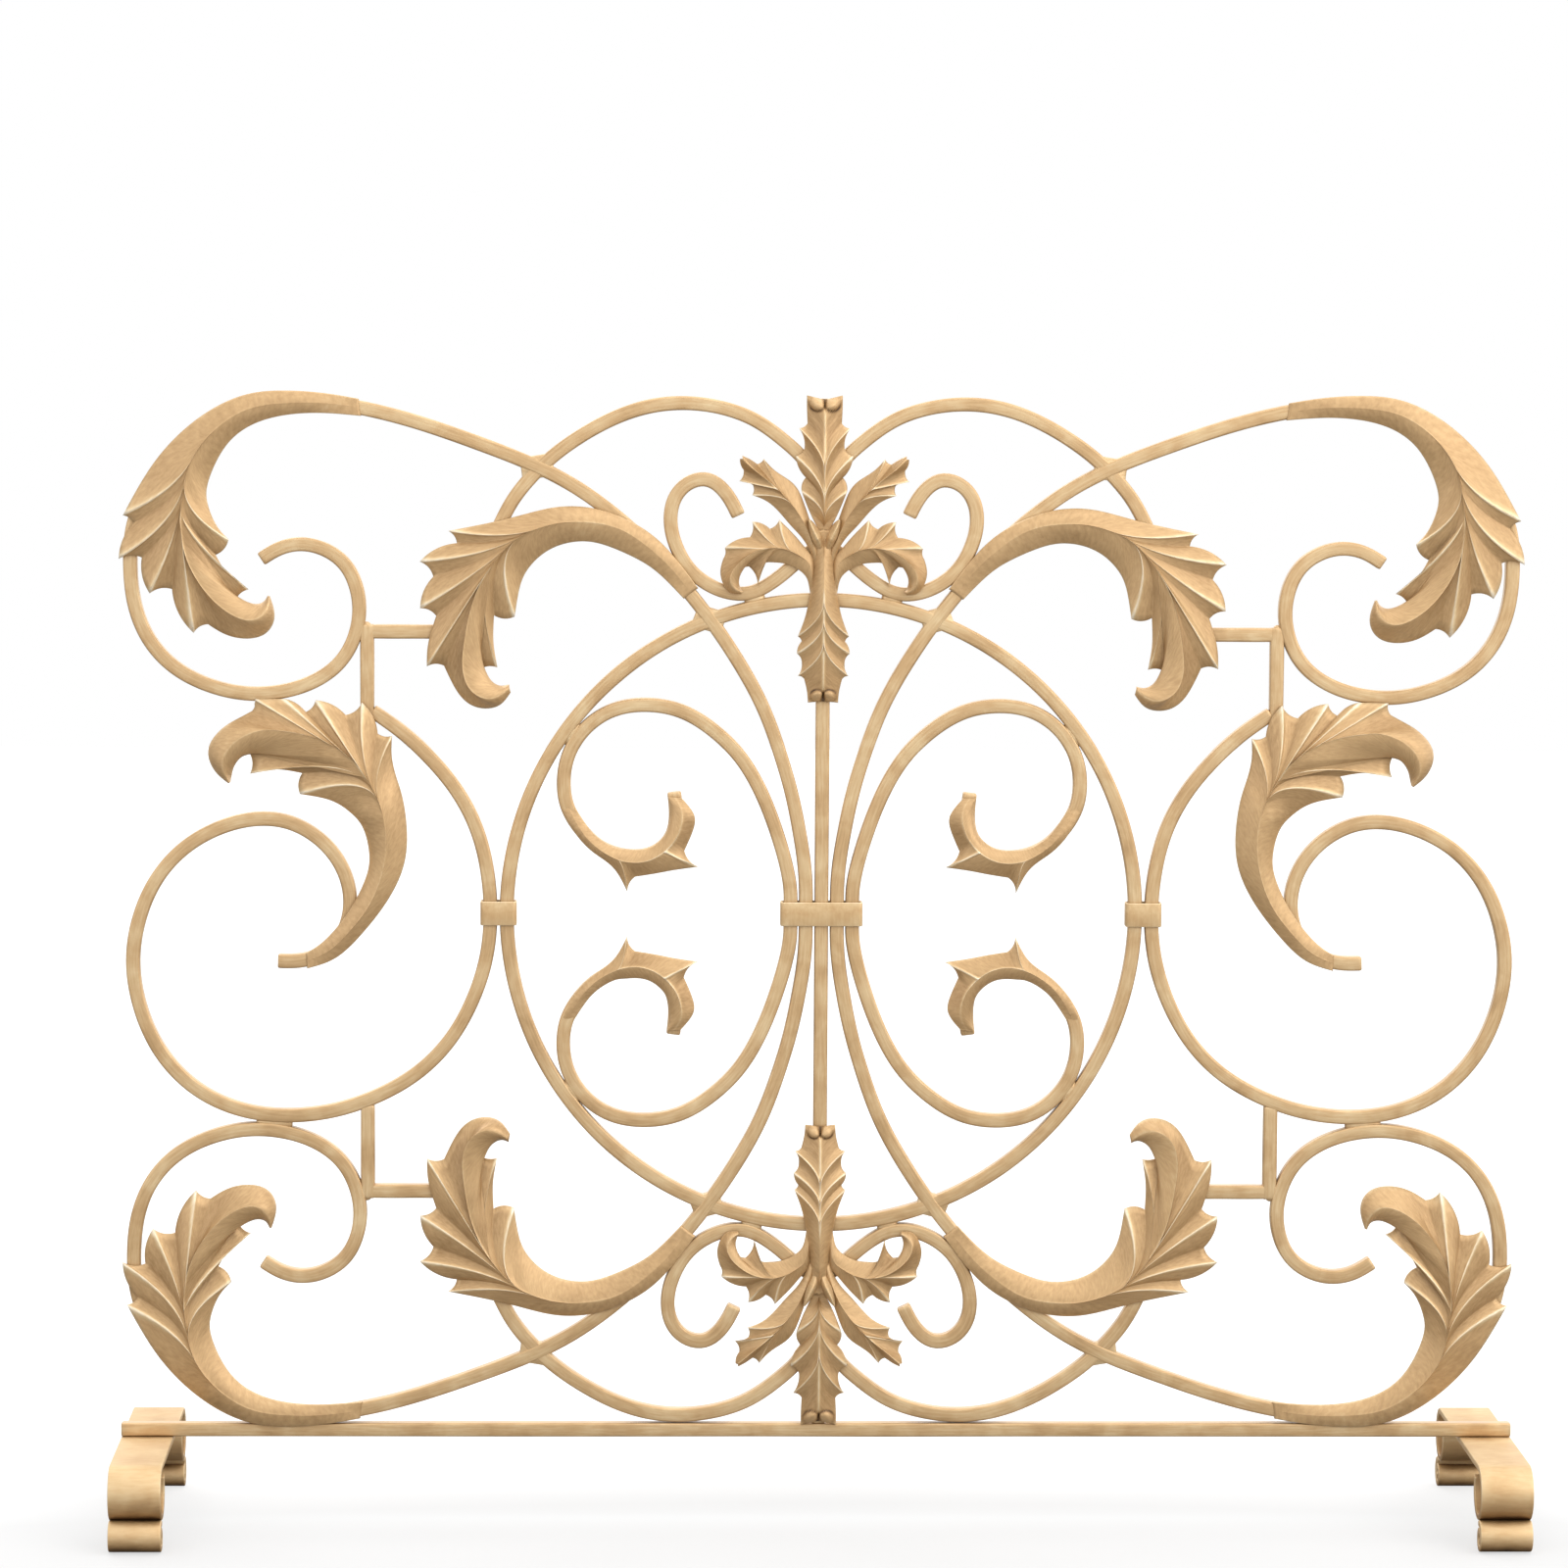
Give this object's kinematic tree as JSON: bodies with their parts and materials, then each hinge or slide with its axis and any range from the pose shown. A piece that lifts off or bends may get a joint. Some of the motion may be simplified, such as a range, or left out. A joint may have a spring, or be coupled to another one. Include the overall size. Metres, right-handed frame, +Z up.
{
  "type": "fireplace screen",
  "caption": "Free-standing fireplace screen of scrolled square iron bar with pressed acanthus leaves, a round centre frame and two scroll feet.",
  "frame": {"origin": "middle of the footprint on the floor, under the panel", "axes": "+X along the panel to the viewer's right, +Y to the fire side, +Z up; the leaves face -Y"},
  "size_m": [0.99, 0.231, 0.8013],
  "materials": {
    "bars": "antique gold enamel, satin, slightly brushed",
    "leaves": "antique gold enamel on pressed sheet, browner in the creases",
    "stand": "antique gold enamel, satin",
    "collars": "antique gold enamel on flat strap",
    "welds": "antique gold enamel over weld metal"
  },
  "bodies": {
    "root": {"arch_lower_left": "bars", "arch_lower_right": "bars", "arch_upper_left": "bars", "arch_upper_right": "bars", "base_rail": "stand", "bud_lower_left": "leaves", "bud_lower_right": "leaves", "bud_upper_left": "leaves", "bud_upper_right": "leaves", "centre_rod": "bars", "collar_centre": "collars", "collar_left": "collars", "collar_right": "collars", "corner_leaf_lower_left": "leaves", "corner_leaf_lower_right": "leaves", "corner_leaf_upper_left": "leaves", "corner_leaf_upper_right": "leaves", "crown_leaf_lower": "leaves", "crown_leaf_upper": "leaves", "foot_band_left": "stand", "foot_band_right": "stand", "foot_rolls_left": "stand", "foot_rolls_right": "stand", "frond_lower_left": "leaves", "frond_lower_right": "leaves", "frond_upper_left": "leaves", "frond_upper_right": "leaves", "hook_lower_left": "bars", "hook_lower_right": "bars", "hook_upper_left": "bars", "hook_upper_right": "bars", "inner_leaf_lower_left": "leaves", "inner_leaf_lower_right": "leaves", "inner_leaf_upper_left": "leaves", "inner_leaf_upper_right": "leaves", "inner_scroll_left": "bars", "inner_scroll_right": "bars", "long_scroll_left": "bars", "long_scroll_right": "bars", "pendant_leaf_lower": "leaves", "pendant_leaf_upper": "leaves", "ring_bottom": "bars", "ring_left": "bars", "ring_right": "bars", "ring_top": "bars", "side_leaf_left": "leaves", "side_leaf_right": "leaves", "side_scroll_left": "bars", "side_scroll_right": "bars", "sprig_lower_left": "leaves", "sprig_lower_right": "leaves", "sprig_upper_left": "leaves", "sprig_upper_right": "leaves", "tie_lower_left": "bars", "tie_lower_right": "bars", "tie_upper_left": "bars", "tie_upper_right": "bars", "weld_beads_left": "welds", "weld_beads_right": "welds"}
  },
  "joints": []
}
